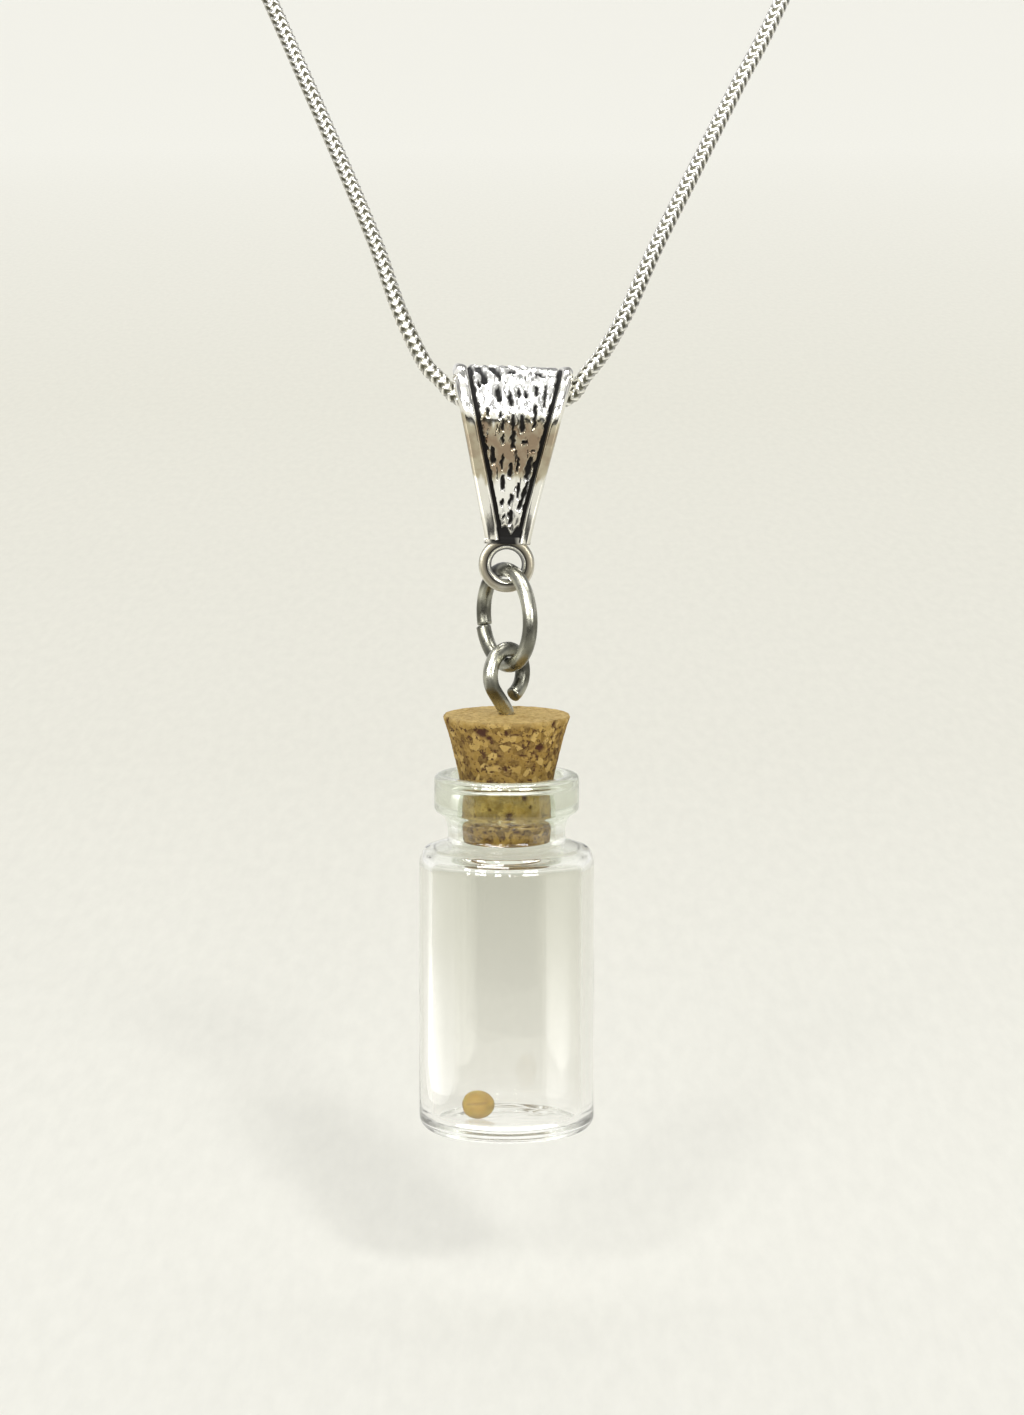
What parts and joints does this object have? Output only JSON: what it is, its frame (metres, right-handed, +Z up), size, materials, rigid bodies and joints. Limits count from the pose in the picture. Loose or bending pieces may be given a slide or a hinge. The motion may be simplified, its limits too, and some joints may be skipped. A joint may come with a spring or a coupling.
{
  "type": "bottle pendant necklace",
  "caption": "Small corked glass vial with a seed in it, hung from a screw eye, a jump ring and a wide folded bail on a snake chain.",
  "frame": {"origin": "middle of the clasp at the nape, where the necklace rests on the back of the neck", "axes": "+Z up, -Y to the front, where the pendant hangs; +X to the right as seen from the front"},
  "size_m": [0.1112, 0.1077, 0.1924],
  "materials": {
    "chain_silver": "polished silver plate on a fine snake chain",
    "antiqued_silver": "cast, polished rims, blackened recesses",
    "bright_steel": "bright nickel plate",
    "cork": "natural agglomerate-free cork with dark pits",
    "clear_glass": "clear, smooth",
    "seed": "matt dry seed coat"
  },
  "bodies": {
    "necklace": {"chain": "chain_silver", "clasp": "chain_silver"},
    "bail": {"bail": "antiqued_silver"},
    "ring": {"jump_ring": "bright_steel"},
    "stopper": {"screw_eye": "bright_steel", "cork": "cork"},
    "vial": {"bottle": "clear_glass", "seed": "seed"}
  },
  "joints": [
    {"name": "bail_swing", "type": "hinge", "parent": "necklace", "child": "bail", "pos_m": [0, -0.101, -0.1446], "axis": [1, 0, 0], "range_deg": [-75, 75]},
    {"name": "ring_swing", "type": "hinge", "parent": "bail", "child": "ring", "pos_m": [0, -0.101, -0.15674], "axis": [0.8712, 0.4909, 0], "range_deg": [-40, 40]},
    {"name": "eye_swing", "type": "hinge", "parent": "ring", "child": "stopper", "pos_m": [0, -0.101, -0.1617], "axis": [0.4909, -0.8712, 0], "range_deg": [-60, 60]},
    {"name": "cork_pull", "type": "slide", "parent": "stopper", "child": "vial", "axis": [0, 0, -1], "range_m": [0, 0.01]}
  ]
}
